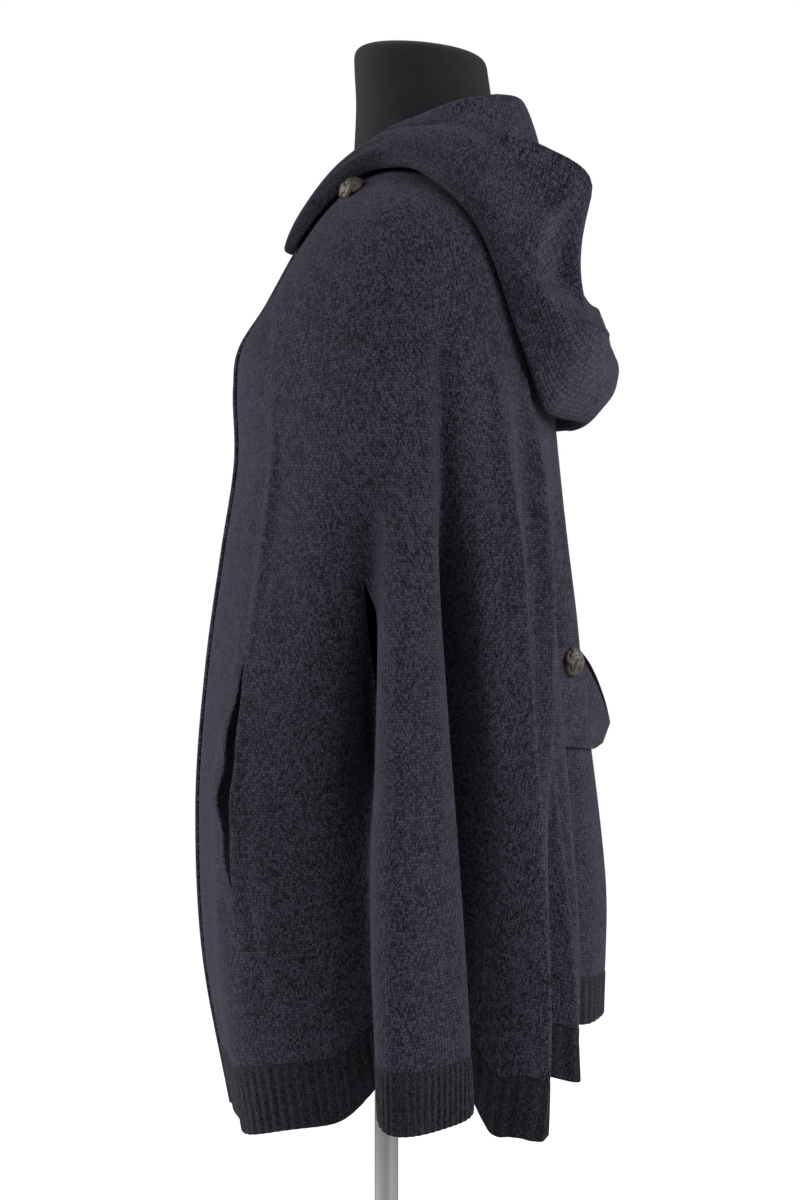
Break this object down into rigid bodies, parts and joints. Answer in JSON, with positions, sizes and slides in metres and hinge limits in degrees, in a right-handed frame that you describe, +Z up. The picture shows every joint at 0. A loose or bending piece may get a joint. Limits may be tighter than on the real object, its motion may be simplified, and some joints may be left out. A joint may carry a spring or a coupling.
{
  "type": "hooded knitted cape cardigan on a limbless dress form with a pole stand",
  "caption": "Hooded, knitted cape cardigan with a ribbed hem, hand slits and a slack half-belt, on a dress form with a pole and a round base.",
  "frame": {"origin": "middle of the underside of the base plate, on the pole's axis", "axes": "+Z up, the cardigan's front faces -Y, the wearer's left is +X"},
  "size_m": [0.5998, 0.384, 1.487],
  "materials": {
    "charcoal_knit": "melange wool knit, soft and matt",
    "charcoal_rib": "two by two ribbed wool knit, matt",
    "braided_leather": "woven leather strands, satin",
    "black_jersey": "smooth stretched jersey, matt",
    "polished_steel": "polished",
    "brushed_steel": "brushed"
  },
  "bodies": {
    "root": {"front_left": "charcoal_knit", "front_right": "charcoal_knit", "side_left": "charcoal_knit", "side_right": "charcoal_knit", "back": "charcoal_knit", "hood_left": "charcoal_knit", "hood_right": "charcoal_knit", "half_belt": "charcoal_knit", "hem_front_left": "charcoal_rib", "hem_front_right": "charcoal_rib", "hem_side_left": "charcoal_rib", "hem_side_right": "charcoal_rib", "hem_back": "charcoal_rib", "band_left": "charcoal_rib", "band_right": "charcoal_rib", "neck_button": "braided_leather", "belt_button_left": "braided_leather", "belt_button_right": "braided_leather", "dress_form": "black_jersey", "pole": "polished_steel", "base_plate": "brushed_steel"}
  },
  "joints": []
}
